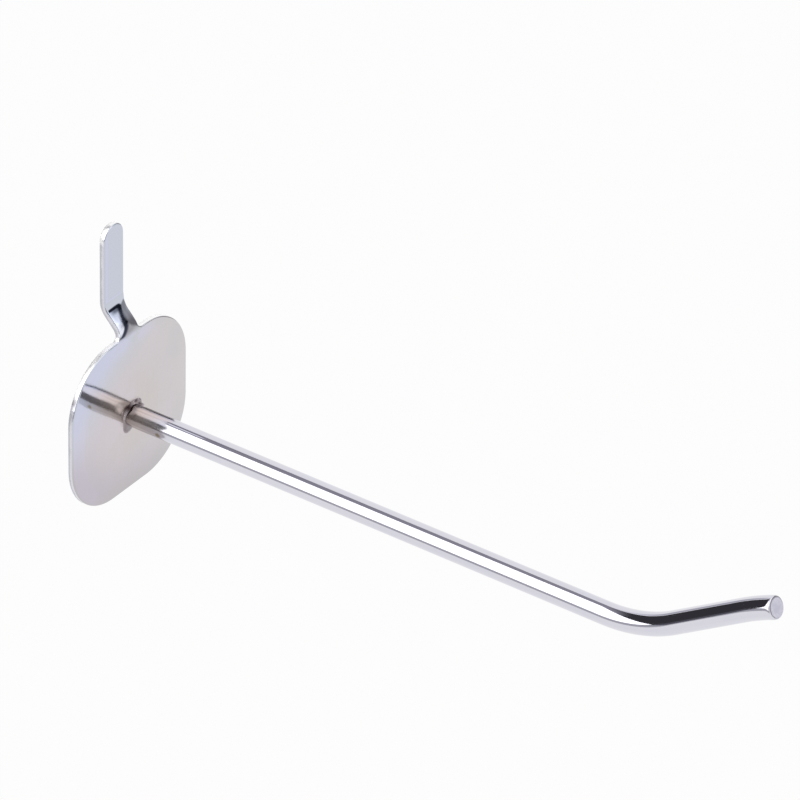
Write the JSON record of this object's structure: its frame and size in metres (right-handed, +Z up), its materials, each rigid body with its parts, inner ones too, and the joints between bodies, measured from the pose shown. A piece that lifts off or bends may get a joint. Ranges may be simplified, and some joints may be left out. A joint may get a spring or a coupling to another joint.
{
  "type": "pegboard hook",
  "caption": "Single-arm pegboard hook: a round steel rod with an upturned end, welded to a stamped plate whose set-back tongue hangs in a hole of the board.",
  "frame": {"origin": "on the arm's axis, in the plane of the plate's back face, which rests on the board", "axes": "+Y into the board, the arm runs along -Y, +Z up"},
  "size_m": [0.035, 0.1491, 0.0568],
  "materials": {
    "plate_chrome": "bright chrome plate on stamped sheet steel",
    "rod_chrome": "bright chrome plate on drawn steel rod",
    "weld_chrome": "chrome plate over a rough weld bead"
  },
  "bodies": {
    "root": {"mounting_plate": "plate_chrome", "hook_arm": "rod_chrome", "weld_bead": "weld_chrome"}
  },
  "joints": []
}
